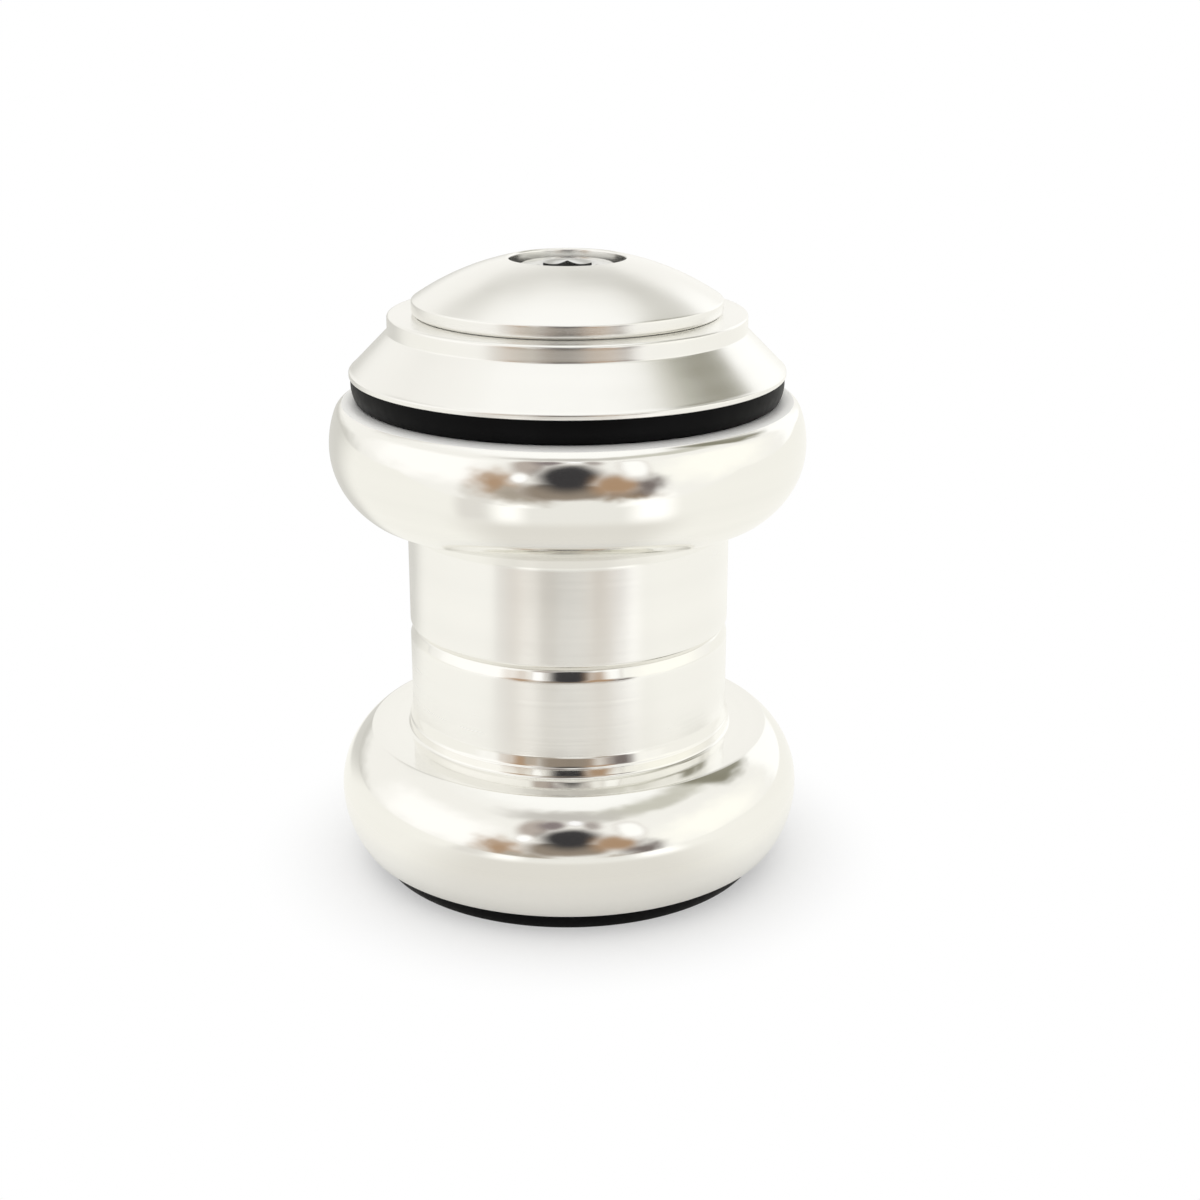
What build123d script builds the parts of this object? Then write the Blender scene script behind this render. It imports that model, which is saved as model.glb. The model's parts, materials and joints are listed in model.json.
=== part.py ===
from build123d import *
import math
import os

os.makedirs("parts", exist_ok=True)

# Driving dimensions in millimetres. Z is the steering axis, z = 0 is the fork crown's face.
STEERER_R = 14.3            # outside of the steerer tube
SKIRT_WALL = 1.75           # wall of the skirt pressed into the head tube
UPPER_SKIRT = 13.0          # from the upper cup's ledge to the end of its skirt
LOWER_SKIRT = 11.5          # from the lower cup's ledge to the end of its skirt
UPPER_LEAD = 0.6            # lead-in chamfer at the end of the upper skirt
LOWER_LEAD = 1.15           # lead-in chamfer at the end of the lower skirt
UPPER_REACH = 4.7           # from the upper cup's mouth to its widest ring
LOWER_REACH = 6.0           # from the lower cup's mouth to its widest ring
LEDGE_DEPTH = 6.8           # from a cup's widest ring to its ledge
CUP_BULGE = 3.25            # from a cup's mouth out to its widest ring
CUP_ROUND = 8.4             # round of a cup towards its ledge
LIP_ROUND = 10.0            # round of a cup towards its mouth
UPPER_LIP = 1.8             # round of the upper cup's lip
LOWER_LIP = 0.9             # round of the lower cup's lip
BOSS_HEIGHT = 1.2           # boss around the skirt, above the ledge
MOUTH_WALL = 1.18           # from the bearing out to the cup's mouth
CROWN_GAP = 2.2             # from the crown's face to the lower cup's mouth
COVER_GAP = 2.5             # from the upper cup's mouth to the top cover
BEARING_HEIGHT = 6.5        # axial height of a bearing
RACE_WALL = 1.825           # radial wall of a bearing race
BALL_R = 1.5875             # radius of a ball
BALL_COUNT = 24             # balls in a bearing
COVER_OVERHANG = 0.95       # top cover's edge beyond the cup's mouth
COVER_CONE = 4.1            # height of the top cover's cone
COVER_RUN = 4.05            # from the top cover's edge in to its rim
COVER_RIM = 1.7             # height of the top cover's rim
CAP_EDGE = 1.4              # height of the top cap's cylindrical edge
CAP_RISE = 4.15             # from that edge to the rim of the bolt's recess
RECESS_R = 6.0              # recess for the bolt's head
BOLT_R = 2.95               # bolt's shank
BOLT_LENGTH = 35.0          # under the head
HEAD_R = 5.0                # bolt's head
HEAD_HEIGHT = 6.0           # bolt's head
HEX_ACROSS = 5.0            # hexagon socket across its flats
NUT_LENGTH = 13.0           # star nut's sleeve
CLAW = 0.8                  # sheet of the star nut's claws
CLAW_RISE = 2.2             # dish of a claw
CLAW_SLOT = 2.8             # slot between two teeth of a claw
RING_SPLIT = 2.0            # slit of the compression ring

# Radii that follow from them, from the steerer outwards.
RUN = 0.05                                          # running clearance
CROWN_R = STEERER_R + 0.7
BEARING_BORE_R = STEERER_R + 0.95
THROUGH_R = BEARING_BORE_R + RUN
SKIRT_R = THROUGH_R + SKIRT_WALL
INNER_RACE_R = BEARING_BORE_R + RACE_WALL
PITCH_R = INNER_RACE_R + 0.8
OUTER_RACE_R = PITCH_R + 0.8
BEARING_R = OUTER_RACE_R + RACE_WALL
MOUTH_R = BEARING_R + MOUTH_WALL
COVER_BORE_R = STEERER_R + 0.1
CAP_R = STEERER_R + 1.75
CONE_36 = math.tan(math.radians(36))
WEDGE = 1.5                                         # axial length of the 36 degree wedge
SEAT = 1.2                                          # leg of the 45 degree seat

CUP_R = MOUTH_R + CUP_BULGE
MOUTH_STEP = 1.0
COVER_R = MOUTH_R + COVER_OVERHANG
RIM_R = COVER_R - COVER_RUN

# Heights, from the crown upwards.
LOWER_MOUTH = CROWN_GAP
MEETING = LOWER_MOUTH + LOWER_REACH + LEDGE_DEPTH + LOWER_SKIRT
UPPER_MOUTH = MEETING + UPPER_SKIRT + LEDGE_DEPTH + UPPER_REACH
COVER_BASE = UPPER_MOUTH + COVER_GAP
RING_TOP = UPPER_MOUTH + 0.53 * COVER_GAP
CONE_FOOT = COVER_BASE + 0.5
CONE_TOP = CONE_FOOT + COVER_CONE
COVER_TOP = CONE_TOP + COVER_RIM
CAP_SHOULDER = COVER_TOP + CAP_EDGE
CAP_TOP = CAP_SHOULDER + CAP_RISE
HEAD_SEAT = CAP_TOP - 0.65 - HEAD_HEIGHT
BOLT_END = HEAD_SEAT - BOLT_LENGTH


def turned(*steps):
    """Solid turned about Z. A step is a corner (r, z), or an arc ((r, z) passed, (r, z) reached)."""
    edges = []
    here = steps[0]
    for step in steps[1:] + (steps[0],):
        if isinstance(step[0], tuple):
            edges.append(ThreePointArc(here, step[0], step[1]))
            here = step[1]
        else:
            edges.append(Line(here, step))
            here = step
    return revolve(Plane.XZ * make_face(edges), Axis.Z)


def on_arc(centre, radius, degrees):
    """Point of an arc in the (r, z) plane."""
    angle = math.radians(degrees)
    return (centre[0] + radius * math.cos(angle), centre[1] + radius * math.sin(angle))


def save(shape, name):
    """Writes one piece as a STEP file."""
    shape.label = name
    export_step(shape, f"parts/{name}.step")


def placed(mouth, way, steps):
    """Puts a profile that runs (r, depth from the mouth) at a mouth's height, up or down."""
    def at(point):
        return (point[0], mouth + way * point[1])

    return [(at(s[0]), at(s[1])) if isinstance(s[0], tuple) else at(s) for s in steps]


def cup(mouth, way, reach, skirt, lead, lip_edge):
    """Bearing cup: rounded outside, flat ledge, boss and press skirt."""
    edge = 0.5                                      # round of the ledge's edge
    run_out = 1.1                                   # slim cone from the boss to the skirt
    ledge = reach + LEDGE_DEPTH
    end = ledge + skirt
    boss_r = SKIRT_R + 0.35
    seat = MOUTH_STEP + BEARING_HEIGHT
    relief_r = BEARING_R - SEAT - 0.3

    low = (CUP_R - LIP_ROUND, reach)
    low_angle = -math.degrees(math.asin((reach - lip_edge) / (LIP_ROUND - lip_edge)))
    lip = on_arc(low, LIP_ROUND - lip_edge, low_angle)
    high = (CUP_R - CUP_ROUND, reach)
    high_angle = math.degrees(math.asin((LEDGE_DEPTH - edge) / (CUP_ROUND - edge)))
    brow = on_arc(high, CUP_ROUND - edge, high_angle)
    steps = [
        (MOUTH_R, 0),
        (lip[0], 0),
        (on_arc(lip, lip_edge, (low_angle - 90) / 2), on_arc(low, LIP_ROUND, low_angle)),
        (on_arc(low, LIP_ROUND, low_angle / 2), (CUP_R, reach)),
        (on_arc(high, CUP_ROUND, high_angle / 2), on_arc(high, CUP_ROUND, high_angle)),
        (on_arc(brow, edge, (high_angle + 90) / 2), (brow[0], ledge)),
        (boss_r + 0.35, ledge),
        ((boss_r + 0.1, ledge + 0.1), (boss_r, ledge + 0.35)),
        (boss_r, ledge + BOSS_HEIGHT - 0.12),
        (boss_r - 0.12, ledge + BOSS_HEIGHT),
        (SKIRT_R, ledge + BOSS_HEIGHT + run_out),
        (SKIRT_R, end - lead),
        (SKIRT_R - 0.4, end),
        (THROUGH_R + 0.25, end),
        (THROUGH_R, end - 0.25),
        (THROUGH_R, seat + 0.8),
        (relief_r, seat + 0.8),
        (relief_r, seat + 0.3),
        (BEARING_R + 0.02, seat - SEAT - 0.02),
        (BEARING_R + 0.02, MOUTH_STEP),
        (MOUTH_R, MOUTH_STEP),
    ]
    return turned(*placed(mouth, way, steps))


def bearing(prefix, mouth, way):
    """Angular contact bearing in a cup: two races, balls in a cage and a shield on each face."""
    near = MOUTH_STEP
    far = near + BEARING_HEIGHT
    middle = near + BEARING_HEIGHT / 2
    level = mouth + way * middle
    groove = Pos(0, 0, level) * Torus(PITCH_R, BALL_R + RUN)
    outer = [
        (OUTER_RACE_R, near),
        (BEARING_R - 0.3, near),
        (BEARING_R, near + 0.3),
        (BEARING_R, far - SEAT),
        (BEARING_R - SEAT, far),
        (OUTER_RACE_R, far),
    ]
    inner = [
        (BEARING_BORE_R + WEDGE * CONE_36, near),
        (INNER_RACE_R, near),
        (INNER_RACE_R, far),
        (BEARING_BORE_R + 0.3, far),
        (BEARING_BORE_R, far - 0.3),
        (BEARING_BORE_R, near + WEDGE),
    ]
    save(turned(*placed(mouth, way, outer)) - groove, f"{prefix}_bearing_outer_race")
    save(turned(*placed(mouth, way, inner)) - groove, f"{prefix}_bearing_inner_race")

    spots = [Rot(0, 0, 360 / BALL_COUNT * i) * Pos(PITCH_R, 0, level) for i in range(BALL_COUNT)]
    balls = [spot * Sphere(BALL_R) for spot in spots]
    save(Compound(children=balls), f"{prefix}_bearing_balls")

    half = BALL_R + 0.3
    cage = turned(
        (INNER_RACE_R + 0.3, level - half),
        (OUTER_RACE_R - 0.3, level - half),
        (OUTER_RACE_R - 0.3, level + half),
        (INNER_RACE_R + 0.3, level + half),
    )
    pocket = Rot(0, 90, 0) * Cylinder(BALL_R - 0.004, BEARING_R - BEARING_BORE_R)
    for spot in spots:
        cage -= spot * pocket
    save(cage, f"{prefix}_bearing_cage")

    for side, edge in (("mouth", near + 0.2), ("seat", far - 0.7)):
        shield = [
            (INNER_RACE_R + 0.08, edge),
            (OUTER_RACE_R, edge),
            (OUTER_RACE_R, edge + 0.5),
            (INNER_RACE_R + 0.08, edge + 0.5),
        ]
        save(turned(*placed(mouth, way, shield)), f"{prefix}_bearing_{side}_shield")


def wedge_r(depth):
    """Radius of a bearing's 36 degree cone at a depth below the cup's mouth."""
    return BEARING_BORE_R + (MOUTH_STEP + WEDGE - depth) * CONE_36


# The two cups stand skirt on skirt, each with its bearing.
save(cup(UPPER_MOUTH, -1, UPPER_REACH, UPPER_SKIRT, UPPER_LEAD, UPPER_LIP), "upper_cup")
save(cup(LOWER_MOUTH, 1, LOWER_REACH, LOWER_SKIRT, LOWER_LEAD, LOWER_LIP), "lower_cup")
bearing("upper", UPPER_MOUTH, -1)
bearing("lower", LOWER_MOUTH, 1)

# Split compression ring, wedged between the upper bearing and the steerer.
wedge_end = MOUTH_STEP + WEDGE - 0.15
ring = turned(
    (STEERER_R, UPPER_MOUTH - wedge_end),
    (wedge_r(wedge_end), UPPER_MOUTH - wedge_end),
    (wedge_r(MOUTH_STEP), UPPER_MOUTH - MOUTH_STEP),
    (wedge_r(MOUTH_STEP), RING_TOP),
    (STEERER_R, RING_TOP),
)
ring -= Pos(0, -STEERER_R, UPPER_MOUTH) * Box(RING_SPLIT, 0.5 * STEERER_R, COVER_TOP)
save(ring, "compression_ring")

# Top cover: hub on the compression ring, cone, rim, groove for the o-ring, groove for the seal.
hub_r = wedge_r(MOUTH_STEP) + 0.4
hollow_r = MOUTH_R - 1.5
hollow_top = CONE_FOOT + 0.36 * COVER_CONE
tongue_in = MOUTH_R - 1.1
tongue_out = MOUTH_R - 0.3
o_ring_r = 0.9
o_ring_z = CONE_TOP - 1.43
cover = turned(
    (COVER_BORE_R, RING_TOP),
    (hub_r, RING_TOP),
    (hub_r, hollow_top),
    (hollow_r - 1.0, hollow_top),
    (hollow_r, hollow_top - 1.0),
    (hollow_r, COVER_BASE),
    (tongue_in, COVER_BASE),
    (tongue_in, COVER_BASE + 0.9),
    (tongue_out, COVER_BASE + 0.9),
    (tongue_out, COVER_BASE),
    (COVER_R - 0.12, COVER_BASE),
    (COVER_R, COVER_BASE + 0.12),
    (COVER_R, CONE_FOOT - 0.1),
    ((COVER_R - 0.04, CONE_FOOT + 0.08), (COVER_R - 0.15, CONE_FOOT + 0.15)),
    (RIM_R, CONE_TOP),
    (RIM_R, COVER_TOP - 0.3),
    ((RIM_R - 0.088, COVER_TOP - 0.088), (RIM_R - 0.3, COVER_TOP)),
    (COVER_BORE_R + 0.4, COVER_TOP),
    (COVER_BORE_R, COVER_TOP - 0.4),
    (COVER_BORE_R, o_ring_z + o_ring_r + 0.05),
    (COVER_BORE_R + 1.7, o_ring_z + o_ring_r + 0.05),
    (COVER_BORE_R + 1.7, o_ring_z - o_ring_r - 0.05),
    (COVER_BORE_R, o_ring_z - o_ring_r - 0.05),
)
save(cover, "top_cover")
o_ring = Pos(0, 0, o_ring_z) * Torus(COVER_BORE_R + 1.708 - o_ring_r, o_ring_r)
save(o_ring, "top_cover_o_ring")

# Upper seal: a band under the cover, a tongue in its groove and a lip inside the cup's mouth.
band_r = COVER_R - 0.22
foot_gap = 0.12
upper_seal = turned(
    (hollow_r, COVER_BASE),
    (tongue_in, COVER_BASE),
    (tongue_in, COVER_BASE + 0.9),
    (tongue_out, COVER_BASE + 0.9),
    (tongue_out, COVER_BASE),
    (band_r, COVER_BASE),
    ((band_r + 0.05, UPPER_MOUTH + 0.6 * COVER_GAP), (MOUTH_R + 0.33, UPPER_MOUTH + foot_gap)),
    (MOUTH_R - 0.2, UPPER_MOUTH + foot_gap),
    (MOUTH_R - 0.2, UPPER_MOUTH - MOUTH_STEP + 0.25),
    (MOUTH_R - 0.7, UPPER_MOUTH - MOUTH_STEP + 0.25),
    (hollow_r, UPPER_MOUTH + 0.6),
)
save(upper_seal, "upper_seal")

# Top cap: dome with a recess for the bolt's head, a spigot inside the cover, a hollow underside.
recess_rim = RECESS_R + 0.35
dome_foot = (CAP_R, CAP_SHOULDER)
dome_top = (recess_rim, CAP_TOP)
chord = math.dist(dome_foot, dome_top)
dome_r = 27.7 * CAP_R / 16.1
half_angle = math.asin(chord / 2 / dome_r)
sag = dome_r * (1 - math.cos(half_angle))
dome_mid = (
    (dome_foot[0] + dome_top[0]) / 2 + sag * (dome_top[1] - dome_foot[1]) / chord,
    (dome_foot[1] + dome_top[1]) / 2 + sag * (dome_foot[0] - dome_top[0]) / chord,
)
spigot_r = STEERER_R - 0.25
web_r = RECESS_R + 2.0
cap = turned(
    (BOLT_R + 0.25, HEAD_SEAT - 2.0),
    (web_r, HEAD_SEAT - 2.0),
    (web_r, COVER_TOP + 0.6),
    (spigot_r - 1.6, COVER_TOP + 0.6),
    (spigot_r - 1.6, COVER_TOP - 1.6),
    (spigot_r - 0.3, COVER_TOP - 1.6),
    (spigot_r, COVER_TOP - 1.3),
    (spigot_r, COVER_TOP),
    (CAP_R - 0.3, COVER_TOP),
    (CAP_R, COVER_TOP + 0.3),
    dome_foot,
    (dome_mid, dome_top),
    ((RECESS_R + 0.1, CAP_TOP - 0.02), (RECESS_R, CAP_TOP - 0.25)),
    (RECESS_R, HEAD_SEAT),
    (BOLT_R + 0.25, HEAD_SEAT),
)
save(cap, "top_cap")

# Bolt: cylindrical head with a hexagon socket, shank with a chamfered end.
head_z = HEAD_SEAT + 0.02
head_top = head_z + HEAD_HEIGHT
bolt = turned(
    (0, BOLT_END),
    (BOLT_R - 0.6, BOLT_END),
    (BOLT_R, BOLT_END + 0.6),
    (BOLT_R, head_z),
    (HEAD_R - 0.2, head_z),
    (HEAD_R, head_z + 0.2),
    (HEAD_R, head_top - 0.45),
    ((HEAD_R - 0.13, head_top - 0.13), (HEAD_R - 0.45, head_top)),
    (0, head_top),
)
socket_r = HEX_ACROSS / math.sqrt(3)
socket_depth = 0.55 * HEAD_HEIGHT
bolt -= Pos(0, 0, head_top - socket_depth) * extrude(RegularPolygon(socket_r, 6, rotation=30), HEAD_HEIGHT)
bolt -= Pos(0, 0, head_top - 0.05) * Cone(HEX_ACROSS / 2 + 0.02, socket_r + 0.18, 0.5)
save(bolt, "top_cap_bolt")

# Star nut on the bolt: a threaded sleeve between two dished claws that grip inside the steerer.
nut_base = BOLT_END + 1.5
sleeve_r = BOLT_R + 1.25
claw_r = STEERER_R - 1.4
sleeve = turned(
    (BOLT_R + RUN, nut_base),
    (sleeve_r, nut_base),
    (sleeve_r, nut_base + NUT_LENGTH),
    (BOLT_R + RUN, nut_base + NUT_LENGTH),
)
save(sleeve, "star_nut_sleeve")
for side, foot in (("lower", nut_base + 0.4), ("upper", nut_base + NUT_LENGTH - 1.2)):
    claw = turned(
        (sleeve_r, foot),
        (0.55 * claw_r, foot),
        (claw_r, foot + CLAW_RISE),
        (claw_r, foot + CLAW_RISE + CLAW),
        (0.55 * claw_r, foot + CLAW),
        (sleeve_r, foot + CLAW),
    )
    for i in range(8):
        slot = Pos(claw_r, 0, foot + CLAW_RISE) * Box(0.8 * claw_r, CLAW_SLOT, 4 * CLAW_RISE)
        claw -= Rot(0, 0, 45 * i + 22.5) * slot
    save(claw, f"star_nut_{side}_claw")

# Crown race on the fork: flange, 36 degree cone into the lower bearing.
flange_r = MOUTH_R - 1.5
flange_top = 0.8 * CROWN_GAP
cone_end = MOUTH_STEP + WEDGE - 0.25
crown = turned(
    (CROWN_R, 0),
    (flange_r, 0),
    (flange_r, flange_top),
    (wedge_r(MOUTH_STEP) + 0.9, flange_top),
    (wedge_r(MOUTH_STEP), LOWER_MOUTH + 0.6),
    (wedge_r(MOUTH_STEP), LOWER_MOUTH + MOUTH_STEP),
    (wedge_r(cone_end), LOWER_MOUTH + cone_end),
    (CROWN_R, LOWER_MOUTH + cone_end),
)
save(crown, "crown_race")

# Lower seal: a band on the crown race's flange with a lip inside the lower cup's mouth.
lower_seal = turned(
    (flange_r, 0),
    (MOUTH_R - 0.85, 0),
    ((MOUTH_R - 0.35, 0.4 * CROWN_GAP), (MOUTH_R - 0.12, LOWER_MOUTH - foot_gap)),
    (MOUTH_R - 0.2, LOWER_MOUTH - foot_gap),
    (MOUTH_R - 0.2, LOWER_MOUTH + MOUTH_STEP - 0.25),
    (MOUTH_R - 0.6, LOWER_MOUTH + MOUTH_STEP - 0.25),
    (flange_r, LOWER_MOUTH - 0.2),
)
save(lower_seal, "lower_seal")
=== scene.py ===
"""Looks of a threadless bicycle headset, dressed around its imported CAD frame."""

import json
import logging
import math
from collections.abc import Callable
from dataclasses import dataclass, field
from enum import Enum, IntEnum

import bmesh
import bpy
from mathutils import Matrix, Vector

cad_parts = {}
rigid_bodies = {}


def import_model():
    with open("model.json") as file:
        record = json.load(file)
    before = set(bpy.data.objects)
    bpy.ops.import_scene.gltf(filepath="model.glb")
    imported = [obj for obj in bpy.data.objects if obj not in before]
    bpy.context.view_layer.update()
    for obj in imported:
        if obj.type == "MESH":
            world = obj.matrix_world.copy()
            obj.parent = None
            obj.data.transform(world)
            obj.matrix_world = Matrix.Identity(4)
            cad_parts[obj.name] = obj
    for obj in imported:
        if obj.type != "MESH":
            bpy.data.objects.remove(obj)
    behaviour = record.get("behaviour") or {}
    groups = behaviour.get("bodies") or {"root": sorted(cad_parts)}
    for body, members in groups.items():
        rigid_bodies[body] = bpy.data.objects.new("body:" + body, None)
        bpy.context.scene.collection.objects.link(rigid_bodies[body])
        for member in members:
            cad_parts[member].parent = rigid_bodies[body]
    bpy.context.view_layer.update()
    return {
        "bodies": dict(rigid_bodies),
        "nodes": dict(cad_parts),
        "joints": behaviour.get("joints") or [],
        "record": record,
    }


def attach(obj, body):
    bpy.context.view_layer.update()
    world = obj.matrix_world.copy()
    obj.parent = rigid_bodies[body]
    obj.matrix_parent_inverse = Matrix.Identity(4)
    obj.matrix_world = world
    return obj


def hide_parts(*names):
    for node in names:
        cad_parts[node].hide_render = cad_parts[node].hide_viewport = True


LOG = logging.getLogger("headset")
MM = 0.001
PER_METRE = 1000.0
SPIN_STEPS = 192
MERGE_DISTANCE = 1e-7
SAME_POINT = 1e-4
BROKEN_CORNER = math.radians(28)
SHARP_EDGE = math.radians(40)
WHITE = (1.0, 1.0, 1.0, 1.0)

Socket = bpy.types.NodeSocket
Colour = tuple[float, float, float]
Place = tuple[float, float, float]
Point = tuple[float, float]
Span = tuple[float, float]


class Slot(Enum):
    """Material slots of the record that the new pieces stand for; they are passed along but not used."""

    POLISHED = "polished_aluminium"
    SATIN = "satin_aluminium"
    BOLT = "bolt_steel"
    RUBBER = "seal_rubber"


class Body(Enum):
    """Bodies of the frame that pieces ride on."""

    CUPS = "cups"
    UPPER_ROTOR = "upper_rotor"
    LOWER_ROTOR = "lower_rotor"
    BOLT = "bolt"


class Way(Enum):
    """Direction in which a cup's skirt points from its mouth."""

    UP = 1
    DOWN = -1


class CupZone(IntEnum):
    """Places of a cup with a finish of their own."""

    OUTSIDE = 0
    SKIRT = 1
    INSIDE = 2
    LIP = 3


class CoverZone(IntEnum):
    """Places of the cover or the cap with a finish of their own."""

    OUTSIDE = 0
    INSIDE = 1


class Graph:
    """Adds and links the nodes of one shader tree."""

    def __init__(self, tree: bpy.types.NodeTree) -> None:
        """Keeps the tree that nodes are added to."""
        self.tree = tree

    def feed(self, socket: Socket, value: object) -> None:
        """Links a socket to another, or sets its plain value."""
        if isinstance(value, bpy.types.NodeSocket):
            self.tree.links.new(value, socket)
        else:
            socket.default_value = value

    def node(self, kind: str, inputs: dict | None = None, **settings: object) -> bpy.types.Node:
        """Adds one node.

        Args:
            kind: Blender's node type.
            inputs: Values or sockets for its inputs, by name or index.
            settings: Attributes set on the node.

        Returns:
            The new node.
        """
        made = self.tree.nodes.new(kind)
        for key, value in settings.items():
            setattr(made, key, value)
        for key, value in (inputs or {}).items():
            self.feed(made.inputs[key], value)
        return made

    def math(self, operation: str, first: object, second: object = 0.0, clamp: bool = False) -> Socket:
        """Adds a Math node and returns its output."""
        made = self.node("ShaderNodeMath", {0: first, 1: second}, operation=operation, use_clamp=clamp)
        return made.outputs[0]

    def spread(self, value: object, low: float, high: float, start: float, end: float) -> Socket:
        """Maps a value smoothly from one span to another and returns the result."""
        inputs = {"Value": value, "From Min": low, "From Max": high, "To Min": start, "To Max": end}
        return self.node("ShaderNodeMapRange", inputs, interpolation_type="SMOOTHSTEP").outputs[0]

    def mix(self, factor: object, first: object, second: object) -> Socket:
        """Adds a colour Mix node and returns its output."""
        made = self.node("ShaderNodeMix", data_type="RGBA")
        self.feed(made.inputs[0], factor)
        self.feed(made.inputs[6], first)
        self.feed(made.inputs[7], second)
        return made.outputs[2]

    def place(self) -> Socket:
        """Returns the Object coordinates."""
        return self.node("ShaderNodeTexCoord").outputs["Object"]

    def axes(self, vector: Socket) -> bpy.types.bpy_prop_collection:
        """Returns a vector's x, y and z."""
        return self.node("ShaderNodeSeparateXYZ", {0: vector}).outputs

    def turn(self, x: Socket, y: Socket) -> Socket:
        """Returns how far a place or direction is turned from the front to the right, in degrees."""
        return self.math("DEGREES", self.math("ARCTAN2", x, self.math("MULTIPLY", y, -1.0)))

    def drift(self, value: Socket, noise: Socket, width: float) -> Socket:
        """Returns a value that wanders by a noise over a width."""
        return self.math("ADD", value, self.math("MULTIPLY", self.math("SUBTRACT", noise, 0.5), width))

    def sight(self) -> tuple[Socket, Socket]:
        """Returns the mask of camera rays, and of those with the rays that metal mirrors."""
        path = self.node("ShaderNodeLightPath").outputs
        camera = path["Is Camera Ray"]
        mirrored = self.math("ADD", path["Is Glossy Ray"], path["Is Transmission Ray"], clamp=True)
        return camera, self.math("ADD", camera, mirrored, clamp=True)

    def show(self, share: object, under: Socket, tone: object) -> None:
        """Sends out a material's surface: a glow of a tone by its share, over another shader."""
        glow = self.node("ShaderNodeEmission", {"Color": tone, "Strength": 1.0}).outputs[0]
        blend = self.node("ShaderNodeMixShader", {0: share, 1: under, 2: glow})
        self.feed(self.tree.nodes["Material Output"].inputs["Surface"], blend.outputs[0])


@dataclass
class Effects:
    """Shader node groups shared by the finishes, each built once."""

    pitch: float = 0.2
    face_share: float = 0.77
    broad_pace: float = 0.13
    smudge_size: float = 8.0
    smudge_span: Span = (0.42, 0.68)
    speck_pace: float = 5.0
    speck_span: Span = (0.03, 0.07)

    def __post_init__(self) -> None:
        """Builds the groups."""
        self.turning = self._turning()
        self.handling = self._handling()

    @staticmethod
    def _start(
        name: str, inputs: dict[str, float], outputs: list[str]
    ) -> tuple[Graph, bpy.types.Node, bpy.types.Node]:
        """Makes an empty group.

        Args:
            name: Name of the group.
            inputs: Its float inputs and their values.
            outputs: Its float outputs.

        Returns:
            The group's graph, its input node and its output node.
        """
        tree = bpy.data.node_groups.new(name, "ShaderNodeTree")
        for label, value in inputs.items():
            socket = tree.interface.new_socket(name=label, in_out="INPUT", socket_type="NodeSocketFloat")
            socket.default_value = value
        for label in outputs:
            tree.interface.new_socket(name=label, in_out="OUTPUT", socket_type="NodeSocketFloat")
        graph = Graph(tree)
        return graph, graph.node("NodeGroupInput"), graph.node("NodeGroupOutput")

    def _turning(self) -> bpy.types.NodeTree:
        """Fine rings left by the lathe: a mask that changes along the meridian only."""
        graph, given, result = self._start("turning_marks", {"Pitch": self.pitch}, ["Fine", "Broad"])
        x, y, z = graph.axes(graph.place())
        square = graph.math("ADD", graph.math("MULTIPLY", x, x), graph.math("MULTIPLY", y, y))
        radius = graph.math("SQRT", square)
        along = graph.math("ADD", z, graph.math("MULTIPLY", radius, self.face_share))
        step = graph.math("DIVIDE", graph.math("MULTIPLY", along, PER_METRE), given.outputs["Pitch"])
        slow = graph.math("MULTIPLY", step, self.broad_pace)
        for label, pace, detail in (("Fine", step, 3.0), ("Broad", slow, 2.0)):
            inputs = {"W": pace, "Scale": 1.0, "Detail": detail}
            rings = graph.node("ShaderNodeTexNoise", inputs, noise_dimensions="1D")
            graph.feed(result.inputs[label], rings.outputs[0])
        return graph.tree

    def _handling(self) -> bpy.types.NodeTree:
        """Traces of handling: cloudy smudges and sparse specks."""
        inputs = {"Size": self.smudge_size}
        graph, given, result = self._start("handling_marks", inputs, ["Smudge", "Speck"])
        place = graph.place()
        scale = graph.math("DIVIDE", PER_METRE, given.outputs["Size"])
        fine = graph.math("MULTIPLY", scale, self.speck_pace)
        cloud = graph.node(
            "ShaderNodeTexNoise", {"Vector": place, "Scale": scale, "Detail": 4.0, "Roughness": 0.6}
        )
        cells = graph.node("ShaderNodeTexVoronoi", {"Vector": place, "Scale": fine})
        smudge = graph.spread(cloud.outputs[0], *self.smudge_span, 0.0, 1.0)
        speck = graph.spread(cells.outputs["Distance"], *self.speck_span, 1.0, 0.0)
        graph.feed(result.inputs["Smudge"], smudge)
        graph.feed(result.inputs["Speck"], speck)
        return graph.tree


def new_material(name: str) -> tuple[bpy.types.Material, Graph, bpy.types.Node]:
    """Makes a material with a Principled shader.

    Args:
        name: Name of the material.

    Returns:
        The material, its graph and its Principled node.
    """
    material = bpy.data.materials.new(name)
    material.use_nodes = True
    shader = material.node_tree.nodes["Principled BSDF"]
    return material, Graph(material.node_tree), shader


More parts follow.
